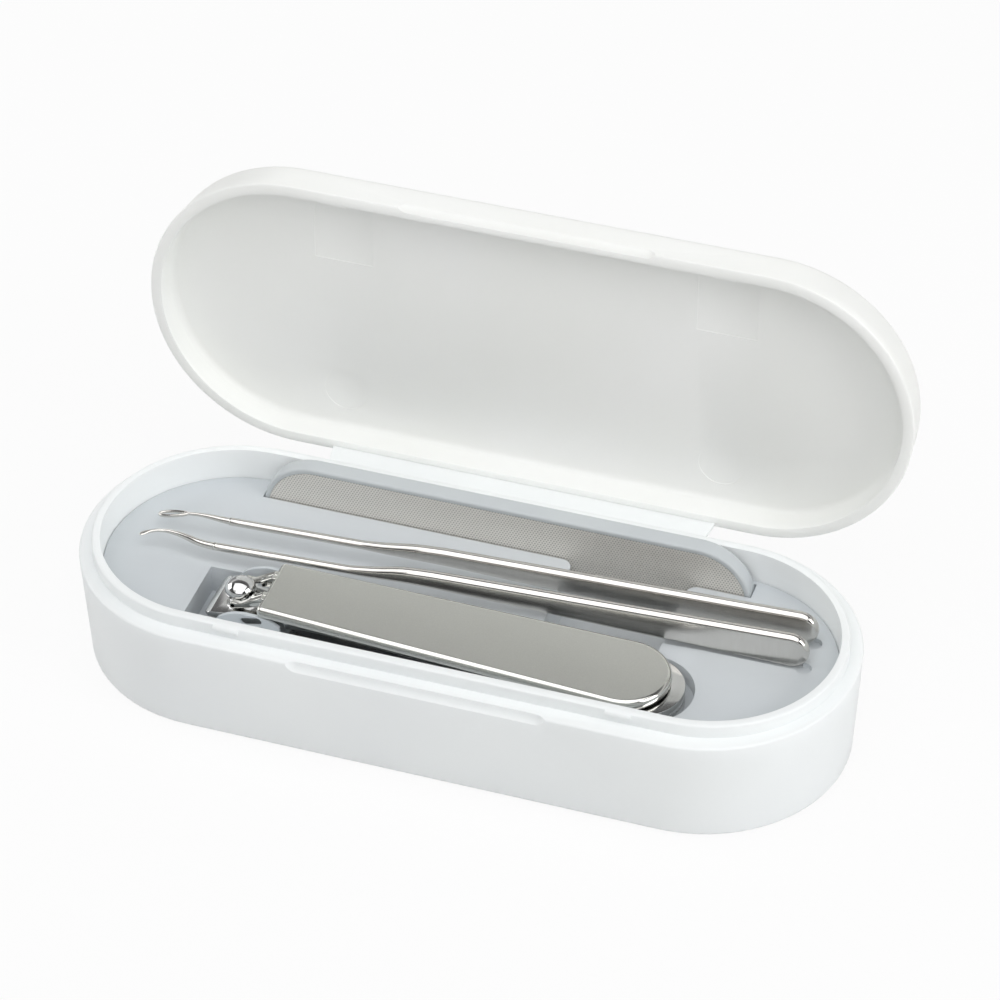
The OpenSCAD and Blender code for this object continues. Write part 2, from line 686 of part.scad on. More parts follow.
// The lever, stowed flat on the blades, with a forked neck round the post
module clipper_lever() {
    end_r = lever_tail_w / 2;
    neck_r = lever_edge_r + 0.05;
    neck_y = lever_neck_w / 2 - neck_r;
    fork_y = arm_slot / 2 + arm_w;
    left = lever_left_x;
    high = lever_top_left_z;
    color("silver") difference() {
        translate([0, clip_y, 0]) union() {
            translate([left, 0, high - lever_t]) rotate([0, lever_slope, 0]) hull() {
                translate([lever_end_x - left - end_r, 0, 0]) lever_corner(end_r);
                for (s = [-1, 1]) translate([neck_r, s * neck_y, 0]) lever_corner(neck_r);
            }
            // Fork that slopes down past the post's head to the cross pin
            rotate([90, 0, 0]) linear_extrude(2 * fork_y, center = true) {
                polygon([[left + 1.3, high - 0.2], [left + 0.1, high - 0.03], [left - 0.2, high - 0.12],
                    [post_x + 1.3, lever_pin_z + arm_r], [post_x, lever_pin_z + arm_r],
                    [post_x, lever_pin_z - arm_r], [left + 1.3, high - lever_t + 0.2]]);
                translate([post_x, lever_pin_z]) circle(arm_r, $fn = 32);
            }
        }
        // Slot of the fork, and the room that the head needs as the lever tilts
        translate([left - 20.3, clip_y - 1.65, lever_pin_z - 5]) cube([20, 3.3, 10]);
        translate([post_x, clip_y, lever_pin_z]) rotate([90, 0, 0])
            cylinder(r = post_head_d / 2 + 0.5, h = arm_slot, center = true, $fn = 64);
        translate([post_x, clip_y, lever_pin_z]) rotate([90, 0, 0])
            cylinder(d = pin_d + 2 * run_gap, h = 20, center = true, $fn = 32);
    }
}

// Height over the mid plane of the guard's arched top, which runs on below the lever
function guard_top(x) = min(0.5 + 3.95 * sqrt(max(0, 1 - pow((x + 31) / 6.45, 2))),
    lever_top_left_z - lever_t - clip_mid_z - (x - lever_left_x) * tan(lever_slope) - 0.16);

// Guard that catches clippings: a cheek on each side of the head, on a bridge between the blades
module clipping_guard() {
    outer = lever_neck_w / 2;
    inner = outer - 0.63;
    low = -2.9;
    start = jaw_x + 2.3;
    steps = 20;
    // The bridge is a wedge that just fits between the blades when they are squeezed together
    bridge = [[head_end_x - 3.2, 0.9], [head_end_x - 0.1, 0.6]];
    color("lightgray") in_clipper() {
        for (s = [-1, 1]) translate([0, s * (inner + outer) / 2, 0]) rotate([90, 0, 0])
            linear_extrude(outer - inner, center = true) difference() {
                polygon(concat([[start, low + 1.2], [start + 1.4, low], [head_end_x, low]],
                    [for (i = [0:steps]) let (x = head_end_x + (start - head_end_x) * i / steps)
                        [x, guard_top(x)]]));
                // Oval window
                translate([start + 6.45, 3.05]) rotate(14) {
                    square([2.1, 1.6], center = true);
                    for (t = [-1, 1]) translate([t * 1.05, 0]) circle(r = 0.802, $fn = 32);
                }
            }
        rotate([90, 0, 0]) linear_extrude(2 * outer, center = true) polygon([
            for (p = bridge) [p[0], 0.05 - inner_rise(p[0])],
            for (p = [bridge[1], bridge[0]]) [p[0], inner_rise(p[0]) - squeeze_drop(p[0]) - 0.06]]);
    }
}

base_shell();
lid_shell();
hinge_web();
tray_insert();
rasp_body();
rasp_screen();
rasp_pad();
loop_extractor();
ear_pick();
clipper_lower_blade();
clipper_upper_blade();
clipper_tail_rivet();
clipper_post();
clipper_post_washer();
clipper_lever_pin();
clipper_lever();
clipping_guard();
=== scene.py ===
"""Hinged manicure case with its tray, rasp, hand tools and nail clipper, dressed for Blender."""

from math import cos, pi, radians, sin

import bmesh
import bpy
from mathutils import Euler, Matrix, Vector


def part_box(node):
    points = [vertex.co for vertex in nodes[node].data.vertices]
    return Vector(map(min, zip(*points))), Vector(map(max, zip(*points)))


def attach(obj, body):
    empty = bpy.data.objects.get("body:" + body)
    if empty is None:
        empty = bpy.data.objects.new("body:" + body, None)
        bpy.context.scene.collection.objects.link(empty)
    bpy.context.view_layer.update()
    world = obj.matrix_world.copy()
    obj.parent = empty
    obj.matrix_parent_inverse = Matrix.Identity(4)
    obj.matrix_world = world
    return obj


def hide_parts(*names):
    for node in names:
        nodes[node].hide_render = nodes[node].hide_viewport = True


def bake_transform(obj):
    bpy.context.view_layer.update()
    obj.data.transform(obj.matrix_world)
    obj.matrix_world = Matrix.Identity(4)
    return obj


MM = 0.001
# Faces that meet at a smaller angle than these, in radians, are shaded as one
ROUND_LIMIT = 0.56
CRISP_LIMIT = 0.4
# Edges that turn by more than this, in radians, are rounded
EDGE_TURN = 0.7

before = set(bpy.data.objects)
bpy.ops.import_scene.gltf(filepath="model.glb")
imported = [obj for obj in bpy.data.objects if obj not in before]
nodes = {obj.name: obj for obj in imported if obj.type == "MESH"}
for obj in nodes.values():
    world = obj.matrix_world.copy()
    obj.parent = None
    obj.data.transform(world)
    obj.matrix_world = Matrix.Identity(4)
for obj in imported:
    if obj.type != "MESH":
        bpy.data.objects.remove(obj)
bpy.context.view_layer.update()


# ---- Materials

def linear(hex_code):
    """An sRGB hex value as the linear colour that Blender's sockets take."""
    channels = [int(hex_code[i:i + 2], 16) / 255 for i in (1, 3, 5)]
    return [c / 12.92 if c <= 0.04045 else ((c + 0.055) / 1.055) ** 2.4 for c in channels] + [1]


def add(tree, kind, sockets=None, **settings):
    """Adds a node. settings are its own; each of its sockets gets a value or another's output."""
    node = tree.nodes.new(kind)
    for name, value in settings.items():
        if name == "stops":
            points = node.color_ramp.elements
            while len(points) < len(value):
                points.new(1)
            for point, (place, colour) in zip(points, value):
                point.position = place
                point.color = colour if isinstance(colour, list) else [colour, colour, colour, 1]
        else:
            setattr(node, name, value)
    for name, value in (sockets or {}).items():
        if isinstance(value, bpy.types.NodeSocket):
            tree.links.new(value, node.inputs[name])
        else:
            node.inputs[name].default_value = value
    return node


def new_material(name):
    """An empty material. Returns it and its node tree."""
    material = bpy.data.materials.new(name)
    material.use_nodes = True
    material.node_tree.nodes.clear()
    return material, material.node_tree


def moulded_polypropylene(shade, pale):
    """White PP, injection moulded with a fine satin grain: a soft broad sheen on milky white."""
    material, tree = new_material("moulded_polypropylene")
    place = add(tree, "ShaderNodeTexCoord").outputs["Object"]
    # Flow in the mould leaves clouds of slightly deeper white, about 30 mm across
    cloud = add(tree, "ShaderNodeTexNoise", {"Vector": place, "Scale": 1 / (30 * MM), "Detail": 2})
    tint = add(tree, "ShaderNodeValToRGB", {"Fac": cloud.outputs["Fac"]},
               stops=[(0.3, linear(shade)), (0.7, linear(pale))])
    # Spark-eroded grain is about 0.1 mm; it is drawn at 0.35 mm so that it shows
    grain = add(tree, "ShaderNodeTexNoise", {
        "Vector": place, "Scale": 1 / (0.35 * MM), "Detail": 3})
    relief = add(tree, "ShaderNodeBump", {"Height": grain.outputs["Fac"], "Distance": 0.006 * MM})
    shader = add(tree, "ShaderNodeBsdfPrincipled", {
        "Base Color": tint.outputs["Color"], "Roughness": 0.4, "IOR": 1.49,
        "Specular IOR Level": 0.45, "Subsurface Weight": 0.25,
        "Subsurface Radius": (1, 1, 1), "Subsurface Scale": 1.5 * MM,
        "Normal": relief.outputs["Normal"]})
    add(tree, "ShaderNodeOutputMaterial", {"Surface": shader.outputs["BSDF"]})
    return material


def moulded_tray_abs():
    """Cool grey ABS, moulded: flat and even, with a slight sheen at grazing angles."""
    material, tree = new_material("moulded_tray_abs")
    place = add(tree, "ShaderNodeTexCoord").outputs["Object"]
    # Clouds in the colour are about 25 mm across
    cloud = add(tree, "ShaderNodeTexNoise", {"Vector": place, "Scale": 1 / (25 * MM), "Detail": 2})
    tint = add(tree, "ShaderNodeValToRGB", {"Fac": cloud.outputs["Fac"]},
               stops=[(0.3, linear("#C9CED2")), (0.7, linear("#CDD2D5"))])
    # Mould grain of about 0.1 mm, drawn at 0.35 mm so that it shows
    grain = add(tree, "ShaderNodeTexNoise", {
        "Vector": place, "Scale": 1 / (0.35 * MM), "Detail": 3})
    relief = add(tree, "ShaderNodeBump", {"Height": grain.outputs["Fac"], "Distance": 0.005 * MM})
    shader = add(tree, "ShaderNodeBsdfPrincipled", {
        "Base Color": tint.outputs["Color"], "Roughness": 0.38, "IOR": 1.53,
        "Specular IOR Level": 0.45, "Normal": relief.outputs["Normal"]})
    add(tree, "ShaderNodeOutputMaterial", {"Surface": shader.outputs["BSDF"]})
    return material


def moulded_rasp_abs():
    """Blue-grey ABS of the rasp's body: satin, a shade darker than the tray."""
    material, tree = new_material("moulded_rasp_abs")
    place = add(tree, "ShaderNodeTexCoord").outputs["Object"]
    # Clouds in the colour are about 17 mm across
    cloud = add(tree, "ShaderNodeTexNoise", {"Vector": place, "Scale": 1 / (17 * MM), "Detail": 2})
    tint = add(tree, "ShaderNodeValToRGB", {"Fac": cloud.outputs["Fac"]},
               stops=[(0.3, linear("#BEC3C6")), (0.7, linear("#C3C8CA"))])
    # Mould grain of about 0.1 mm, drawn at 0.3 mm so that it shows
    grain = add(tree, "ShaderNodeTexNoise", {"Vector": place, "Scale": 1 / (0.3 * MM), "Detail": 2})
    relief = add(tree, "ShaderNodeBump", {"Height": grain.outputs["Fac"], "Distance": 0.005 * MM})
    shader = add(tree, "ShaderNodeBsdfPrincipled", {
        "Base Color": tint.outputs["Color"], "Roughness": 0.36, "IOR": 1.53,
        "Specular IOR Level": 0.45, "Normal": relief.outputs["Normal"]})
    add(tree, "ShaderNodeOutputMaterial", {"Surface": shader.outputs["BSDF"]})
    return material


def etched_steel_screen():
    """Steel sheet etched through with staggered round holes whose raised rims rasp the skin."""
    material, tree = new_material("etched_steel_screen")
    place = add(tree, "ShaderNodeTexCoord").outputs["Object"]
    split = add(tree, "ShaderNodeSeparateXYZ", {"Vector": place})
    # Real holes are finer; here they stand 0.5 mm apart so that they show, in rows that step
    # by half a hole
    pitch = 0.5 * MM
    row_pitch = pitch * 0.87
    column = add(tree, "ShaderNodeMath", {0: split.outputs["X"], 1: pitch}, operation="DIVIDE")
    row = add(tree, "ShaderNodeMath", {0: split.outputs["Z"], 1: row_pitch}, operation="DIVIDE")
    row_number = add(tree, "ShaderNodeMath", {0: row.outputs[0]}, operation="FLOOR")
    moved = add(tree, "ShaderNodeMath", {0: row_number.outputs[0], 1: 0.5, 2: column.outputs[0]},
                operation="MULTIPLY_ADD")
    across = add(tree, "ShaderNodeMath", {0: moved.outputs[0]}, operation="FRACT")
    up = add(tree, "ShaderNodeMath", {0: row.outputs[0]}, operation="FRACT")
    cell = add(tree, "ShaderNodeCombineXYZ", {"X": across.outputs[0], "Y": up.outputs[0]})
    away = add(tree, "ShaderNodeVectorMath", {0: cell.outputs[0], 1: (0.5, 0.5, 0)},
               operation="DISTANCE")
    # From the middle of a hole outwards: the hole, darkened as painted shade, the bright raised
    # rim, and the flat between
    tint = add(tree, "ShaderNodeValToRGB", {"Fac": away.outputs["Value"]}, stops=[
        (0.15, linear("#ABA8A3")), (0.26, linear("#DAD7D1")), (0.42, linear("#F0EDE7"))])
    height = add(tree, "ShaderNodeValToRGB", {"Fac": away.outputs["Value"]}, stops=[
        (0.17, 0.0), (0.28, 1.0), (0.46, 0.35)])
    relief = add(tree, "ShaderNodeBump", {"Height": height.outputs["Color"], "Distance": 0.05 * MM})
    shader = add(tree, "ShaderNodeBsdfPrincipled", {
        "Base Color": tint.outputs["Color"], "Metallic": 0.6, "Roughness": 0.5,
        "Normal": relief.outputs["Normal"]})
    add(tree, "ShaderNodeOutputMaterial", {"Surface": shader.outputs["BSDF"]})
    return material


def bonded_grit():
    """Grey grit bonded in resin on the rasp's back: dull, rough and finely speckled."""
    material, tree = new_material("bonded_grit")
    place = add(tree, "ShaderNodeTexCoord").outputs["Object"]
    # Grit of about 0.25 mm
    grit = add(tree, "ShaderNodeTexVoronoi", {"Vector": place, "Scale": 1 / (0.25 * MM)})
    tint = add(tree, "ShaderNodeValToRGB", {"Fac": grit.outputs["Distance"]},
               stops=[(0.1, linear("#8B8D8F")), (0.7, linear("#5F6163"))])
    relief = add(tree, "ShaderNodeBump", {
        "Height": grit.outputs["Distance"], "Distance": 0.12 * MM}, invert=True)
    shader = add(tree, "ShaderNodeBsdfPrincipled", {
        "Base Color": tint.outputs["Color"], "Roughness": 0.85, "IOR": 1.55,
        "Normal": relief.outputs["Normal"]})
    add(tree, "ShaderNodeOutputMaterial", {"Surface": shader.outputs["BSDF"]})
    return material


def polished_tool_steel():
    """Stainless steel rod, pressed flat and polished: mirror-bright rims and silky flats."""
    material, tree = new_material("polished_tool_steel")
    coordinates = add(tree, "ShaderNodeTexCoord")
    # Polishing marks 0.1 mm wide run up and down the flats; drawn 0.3 mm wide so that they show
    squeezed = add(tree, "ShaderNodeMapping", {
        "Vector": coordinates.outputs["Object"],
        "Scale": (1 / (0.3 * MM), 1 / (2 * MM), 1 / (2 * MM))})
    marks = add(tree, "ShaderNodeTexNoise", {
        "Vector": squeezed.outputs["Vector"], "Scale": 1.0, "Detail": 3})
    tint = add(tree, "ShaderNodeValToRGB", {"Fac": marks.outputs["Fac"]},
               stops=[(0.3, linear("#D5D2CE")), (0.7, linear("#DBD9D5"))])
    # The flats face along Y and are duller than the rims
    facing = add(tree, "ShaderNodeSeparateXYZ", {"Vector": coordinates.outputs["Normal"]})
    side = add(tree, "ShaderNodeMath", {0: facing.outputs["Y"]}, operation="ABSOLUTE")
    dull = add(tree, "ShaderNodeValToRGB", {"Fac": side.outputs[0]},
               stops=[(0.93, 0.1), (0.99, 0.27)])
    relief = add(tree, "ShaderNodeBump", {"Height": marks.outputs["Fac"], "Distance": 0.0004 * MM})
    shader = add(tree, "ShaderNodeBsdfPrincipled", {
        "Base Color": tint.outputs["Color"], "Metallic": 1.0, "Roughness": dull.outputs["Color"],
        "Normal": relief.outputs["Normal"]})
    add(tree, "ShaderNodeOutputMaterial", {"Surface": shader.outputs["BSDF"]})
    return material


def clipper_blade_steel():
    """Carbon steel strip, stamped and nickel plated: bright, with faint marks across the strip."""
    material, tree = new_material("clipper_blade_steel")
    place = add(tree, "ShaderNodeTexCoord").outputs["Object"]
    # Grinding marks 0.05 mm wide, drawn 0.2 mm wide so that they show
    squeezed = add(tree, "ShaderNodeMapping", {
        "Vector": place, "Scale": (1 / (0.2 * MM), 1 / (3 * MM), 1 / (3 * MM))})
    marks = add(tree, "ShaderNodeTexNoise", {
        "Vector": squeezed.outputs["Vector"], "Scale": 1.0, "Detail": 3})
    tint = add(tree, "ShaderNodeValToRGB", {"Fac": marks.outputs["Fac"]},
               stops=[(0.3, linear("#CFCFCE")), (0.7, linear("#D6D6D5"))])
    dull = add(tree, "ShaderNodeValToRGB", {"Fac": marks.outputs["Fac"]},
               stops=[(0.3, 0.11), (0.75, 0.16)])
    relief = add(tree, "ShaderNodeBump", {"Height": marks.outputs["Fac"], "Distance": 0.0004 * MM})
    shader = add(tree, "ShaderNodeBsdfPrincipled", {
        "Base Color": tint.outputs["Color"], "Metallic": 1.0, "Roughness": dull.outputs["Color"],
        "Normal": relief.outputs["Normal"]})
    add(tree, "ShaderNodeOutputMaterial", {"Surface": shader.outputs["BSDF"]})
    return material


def satin_lever_steel():
    """Plated steel lever: a bead-blasted satin top, and a rim and underside polished bright."""
    material, tree = new_material("satin_lever_steel")
    coordinates = add(tree, "ShaderNodeTexCoord")
    # Blasting pits of about 0.05 mm, drawn at 0.2 mm so that they show
    pits = add(tree, "ShaderNodeTexNoise", {
        "Vector": coordinates.outputs["Object"], "Scale": 1 / (0.2 * MM), "Detail": 3})
    tint = add(tree, "ShaderNodeValToRGB", {"Fac": pits.outputs["Fac"]},
               stops=[(0.3, linear("#D6D6D1")), (0.7, linear("#DCDCD7"))])
    # Only the top, which faces up along Z, is satin
    facing = add(tree, "ShaderNodeSeparateXYZ", {"Vector": coordinates.outputs["Normal"]})
    dull = add(tree, "ShaderNodeValToRGB", {"Fac": facing.outputs["Z"]},
               stops=[(0.96, 0.09), (0.995, 0.36)])
    relief = add(tree, "ShaderNodeBump", {"Height": pits.outputs["Fac"], "Distance": 0.0006 * MM})
    shader = add(tree, "ShaderNodeBsdfPrincipled", {
        "Base Color": tint.outputs["Color"], "Metallic": 1.0, "Roughness": dull.outputs["Color"],
        "Normal": relief.outputs["Normal"]})
    add(tree, "ShaderNodeOutputMaterial", {"Surface": shader.outputs["BSDF"]})
    return material


def bright_chrome():
    """Chromed turned steel of post, washer, pin and rivet: mirror bright."""
    material, tree = new_material("bright_chrome")
    place = add(tree, "ShaderNodeTexCoord").outputs["Object"]
    # Handling leaves faint dull patches about 0.5 mm across
    marks = add(tree, "ShaderNodeTexNoise", {"Vector": place, "Scale": 1 / (0.5 * MM), "Detail": 2})
    tint = add(tree, "ShaderNodeValToRGB", {"Fac": marks.outputs["Fac"]},
               stops=[(0.3, linear("#D8D8D8")), (0.7, linear("#E0E0E0"))])
    dull = add(tree, "ShaderNodeValToRGB", {"Fac": marks.outputs["Fac"]},
               stops=[(0.3, 0.04), (0.8, 0.08)])
    shader = add(tree, "ShaderNodeBsdfPrincipled", {
        "Base Color": tint.outputs["Color"], "Metallic": 1.0, "Roughness": dull.outputs["Color"]})
    add(tree, "ShaderNodeOutputMaterial", {"Surface": shader.outputs["BSDF"]})
    return material


def moulded_guard_polycarbonate():
    """Pale grey polycarbonate guard: smooth, a little glossy and slightly milky."""
    material, tree = new_material("moulded_guard_polycarbonate")
    place = add(tree, "ShaderNodeTexCoord").outputs["Object"]
    # Clouds in the colour are about 7 mm across
    cloud = add(tree, "ShaderNodeTexNoise", {"Vector": place, "Scale": 1 / (7 * MM), "Detail": 2})
    tint = add(tree, "ShaderNodeValToRGB", {"Fac": cloud.outputs["Fac"]},
               stops=[(0.3, linear("#C6CCD1")), (0.7, linear("#CDD3D7"))])
    shader = add(tree, "ShaderNodeBsdfPrincipled", {
        "Base Color": tint.outputs["Color"], "Roughness": 0.2, "IOR": 1.58,
        "Specular IOR Level": 0.5})
    add(tree, "ShaderNodeOutputMaterial", {"Surface": shader.outputs["BSDF"]})
    return material


# The base is tinted a cooler white than the lid as painted shade, and the lid a warmer white as
# painted light; the two are one plastic. Each pair is the deeper and the paler of its two shades
painted_shade_white = moulded_polypropylene("#EEF1F2", "#F2F5F5")
painted_light_white = moulded_polypropylene("#F3F4F1", "#F6F7F5")
tray_grey = moulded_tray_abs()
rasp_grey = moulded_rasp_abs()
screen_steel = etched_steel_screen()
grit = bonded_grit()
tool_steel = polished_tool_steel()
blade_steel = clipper_blade_steel()
lever_steel = satin_lever_steel()
chrome = bright_chrome()
guard_grey = moulded_guard_polycarbonate()

finishes = {
    # The base's and hinge's cooler white is painted shade, and the lid's warmer white is painted
    # light
    "base_shell": painted_shade_white,
    "lid_shell": painted_light_white,
    "hinge_web": painted_shade_white,
    "tray_insert": tray_grey,
    "rasp_body": rasp_grey,
    "rasp_screen": screen_steel,
    "rasp_pad": grit,
    "loop_extractor": tool_steel,
    "ear_pick": tool_steel,
    "clipper_lower_blade": blade_steel,
    "clipper_upper_blade": blade_steel,
    "clipper_tail_rivet": chrome,
    "clipper_post": chrome,
    "clipper_post_washer": chrome,
    "clipper_lever_pin": chrome,
    "clipper_lever": lever_steel,
    "clipping_guard": guard_grey,
}
for name, finish in finishes.items():
    slots = nodes[name].material_slots
    for slot in slots:
        slot.material = finish
    if not slots:
        nodes[name].data.materials.append(finish)


# ---- Edges and shading: a moulded or stamped piece has no edge that is sharp

def smooth_faces(limit):
    """Geometry nodes that shade faces as one where they meet at less than limit, in radians."""
    tree = bpy.data.node_groups.new("smooth_faces", "GeometryNodeTree")
    tree.interface.new_socket("Geometry", in_out="INPUT", socket_type="NodeSocketGeometry")
    tree.interface.new_socket("Geometry", in_out="OUTPUT", socket_type="NodeSocketGeometry")
    entry = add(tree, "NodeGroupInput")
    angle = add(tree, "GeometryNodeInputMeshEdgeAngle")
    sharp = add(tree, "FunctionNodeCompare", {0: angle.outputs["Unsigned Angle"], 1: limit},
                operation="GREATER_THAN")
    shaded = add(tree, "GeometryNodeSetMeshNormal", {
        "Mesh": entry.outputs[0], "Remove Custom": True, "Edge Sharpness": sharp.outputs[0],
        "Face Sharpness": False})
    add(tree, "NodeGroupOutput", {0: shaded.outputs[0]})
    return tree


def finish_edges(piece, radius, segments, shading):
    """Rounds the edges of piece to a radius in mm, in so many steps, and sets its shading."""
    if radius:
        bevel = piece.modifiers.new("bevel", "BEVEL")
        bevel.width = radius * MM
        bevel.segments = segments
        bevel.limit_method = "ANGLE"
        bevel.angle_limit = EDGE_TURN
    piece.modifiers.new("shade", "NODES").node_group = shading


round_shading = smooth_faces(ROUND_LIMIT)
crisp_shading = smooth_faces(CRISP_LIMIT)
# Radius of each CAD piece's edges in mm, with 0 where the CAD's own shape is round enough
edge_finish = {
    "base_shell": (0.15, round_shading),
    "lid_shell": (0.15, round_shading),
    "tray_insert": (0.3, round_shading),
    "rasp_body": (0, round_shading),
    "clipper_lower_blade": (0.1, crisp_shading),
    "clipper_upper_blade": (0.1, crisp_shading),
    "clipper_post": (0, round_shading),
    "clipping_guard": (0.05, round_shading),
}
for name, (radius, shading) in edge_finish.items():
    # The CAD's triangles share no corners until they are welded
    nodes[name].modifiers.new("weld", "WELD").merge_threshold = 0.0005 * MM
    finish_edges(nodes[name], radius, segments=2, shading=shading)


# ---- Pieces made here in place of CAD nodes

def new_piece(mesh, name, finish):
    """Makes an object of mesh, a bmesh, with one material. It stays where its points are."""
    bmesh.ops.recalc_face_normals(mesh, faces=mesh.faces)
    data = bpy.data.meshes.new(name)
    mesh.to_mesh(data)
    mesh.free()
    data.materials.append(finish)
    piece = bpy.data.objects.new(name, data)
    bpy.context.collection.objects.link(piece)
    return piece


# ---- Hinge strap

def hinge_strap():
    """A thin web in the place of the CAD node, with enough rows across to bend."""
    low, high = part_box("hinge_web")
    rows, columns, thick = 16, 24, 0.5 * MM
    # The web is this much wider at the lid than at the base
    flare = 0.018
    mesh = bmesh.new()
    layers = []
    for lift in (0, thick):
        grid = []
        for i in range(rows + 1):
            t = i / rows
            y = low.y + (high.y - low.y) * t
            z = low.z + (high.z - thick - low.z) * t + lift
            share = (1 + flare * t) / (1 + flare)
            grid.append([
                mesh.verts.new(((low.x + (high.x - low.x) * j / columns) * share, y, z))
                for j in range(columns + 1)])
        layers.append(grid)
    bottom, top = layers
    for i in range(rows):
        for j in range(columns):
            mesh.faces.new([bottom[i][j], bottom[i + 1][j], bottom[i + 1][j + 1], bottom[i][j + 1]])
            mesh.faces.new([top[i][j], top[i][j + 1], top[i + 1][j + 1], top[i + 1][j]])
        for j, flip in ((0, False), (columns, True)):
            side = [bottom[i][j], top[i][j], top[i + 1][j], bottom[i + 1][j]]
            mesh.faces.new(side[::-1] if flip else side)
    for j in range(columns):
        for i, flip in ((0, True), (rows, False)):
            end = [bottom[i][j], top[i][j], top[i][j + 1], bottom[i][j + 1]]
            mesh.faces.new(end[::-1] if flip else end)
    strap = new_piece(mesh, "hinge_strap", painted_shade_white)
    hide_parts("hinge_web")
    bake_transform(strap)


hinge_strap()


# ---- Hand tools: steel rod pressed flat for a handle and drawn out to a fine end

# All in mm: half the height and half the thickness of a handle, and the places and turns, in
# degrees, at which the case holds the two tools by the ends of their handles
HANDLE_HALF = 3.2
HANDLE_EDGE = 0.95
REAR_TOOL = ((56.1, 9.3, 18.1), 2.6)
FRONT_TOOL = ((56.1, 3.8, 18.1), 3.0)
# Points round a rod's section
SIDES = 28


def eased(rows, steps):
    """Rows of numbers, each gap cut into steps on a smooth curve through all the rows."""
    padded = [rows[0], *rows, rows[-1]]
    curve = []
    for a, b, c, d in zip(padded, padded[1:], padded[2:], padded[3:]):
        for i in range(steps):
            t = i / steps
            curve.append([0.5 * (2 * q + (r - p) * t + (2 * p - 5 * q + 4 * r - s) * t * t
                                 + (3 * q - p - 3 * r + s) * t ** 3)
                          for p, q, r, s in zip(a, b, c, d)])
    return curve + [rows[-1]]


def drawn_rod(name, rows, seat, body, closed=False):
    """
    Rod along rows of (x, y, z, half its thickness, half its height) in mm. A row that is higher
    than thick has flat sides and round edges. seat is the place and turn that set it down.
    """
    mesh = bmesh.new()
    rings = []
    for i, (x, y, z, thick, high) in enumerate(rows):
        before = rows[i - 1] if i or closed else rows[i]
        after = rows[(i + 1) % len(rows)] if closed or i + 1 < len(rows) else rows[i]
        along = Vector((after[0] - before[0], after[1] - before[1], 0)).normalized()
        across = Vector((-along.y, along.x, 0))
        ring = []
        for j in range(SIDES):
            angle = (j + 0.5) * 2 * pi / SIDES
            flat = max(0, high - thick) * (1 if angle < pi else -1)
            cap = min(thick, high)
            ring.append(mesh.verts.new(
                (Vector((x, y, z + flat + cap * sin(angle))) + across * thick * cos(angle)) * MM))
        rings.append(ring)
    pairs = list(zip(rings, rings[1:])) + ([(rings[-1], rings[0])] if closed else [])
    for ring, following in pairs:
        for j in range(SIDES):
            k = (j + 1) % SIDES
            mesh.faces.new([ring[j], ring[k], following[k], following[j]])
    if not closed:
        mesh.faces.new(rings[0])
        mesh.faces.new(rings[-1])
    for face in mesh.faces:
        face.smooth = True
    rod = new_piece(mesh, name, tool_steel)
    place, turn = seat
    rod.location = [v * MM for v in place]
    rod.rotation_euler.z = radians(turn)
    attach(rod, body)
    return rod


def handle_rows(shank_up):
    """Rows of a handle from its round end at x = 0 to the shank, which lies shank_up over 0."""
    rows = []
    steps = 12
    for i in range(1, steps + 1):
        x = HANDLE_HALF * (1 - cos(i / steps * pi / 2))
        high = (HANDLE_HALF ** 2 - (HANDLE_HALF - x) ** 2) ** 0.5
        inward = min(x, HANDLE_EDGE)
        thick = (HANDLE_EDGE ** 2 - (HANDLE_EDGE - inward) ** 2) ** 0.5
        rows.append([-x, 0, 0, min(thick, high), high])
    # The flat tapers, and its top edge stays level
    rows += [[-24, 0, 0.57, HANDLE_EDGE, 2.63], [-43, 0, 1.08, HANDLE_EDGE, 2.12],
             [-60, 0, 1.55, HANDLE_EDGE, 1.65]]
    rows += eased([[-62, 0, 1.6, HANDLE_EDGE, 1.6], [-67, 0, 1.5, 0.92, 1.4],
                   [-72, 0, (shank_up + 1.25) / 2, 0.82, 1.0], [-76, 0, shank_up, 0.72, 0.74]],
                  steps=4)
    return rows


def loop_extractor():
    """Flat handle, round shank, and a slim eye of wire that dips towards its tip."""
    rows = handle_rows(1.05) + eased([
        [-80, 0, 1.05, 0.72, 0.72], [-97, 0, 1.05, 0.68, 0.68], [-98.2, 0, 1.05, 0.58, 0.62],
        [-100, 0.02, 1.1, 0.52, 0.52], [-102, 0.06, 1.2, 0.4, 0.42], [-104, 0.06, 1.25, 0.3, 0.32],
        [-105.7, 0, 1.15, 0.27, 0.29], [-106.4, 0, 1.05, 0.24, 0.24]], steps=5)
    rod = drawn_rod("loop_extractor_rod", rows, REAR_TOOL, "extractor")
    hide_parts("loop_extractor")
    eye = []
    steps = 40
    for i in range(steps):
        angle = i / steps * 2 * pi
        run = 0.5 - 0.5 * cos(angle)
        # The eye is wider towards its tip
        half = 0.62 * sin(angle) * (0.72 + 0.4 * run)
        eye.append([-105.9 - 4.95 * run, half, 1.12 - 1.1 * run, 0.26, 0.3])
    drawn_rod("extractor_eye", eye, REAR_TOOL, "extractor", closed=True)


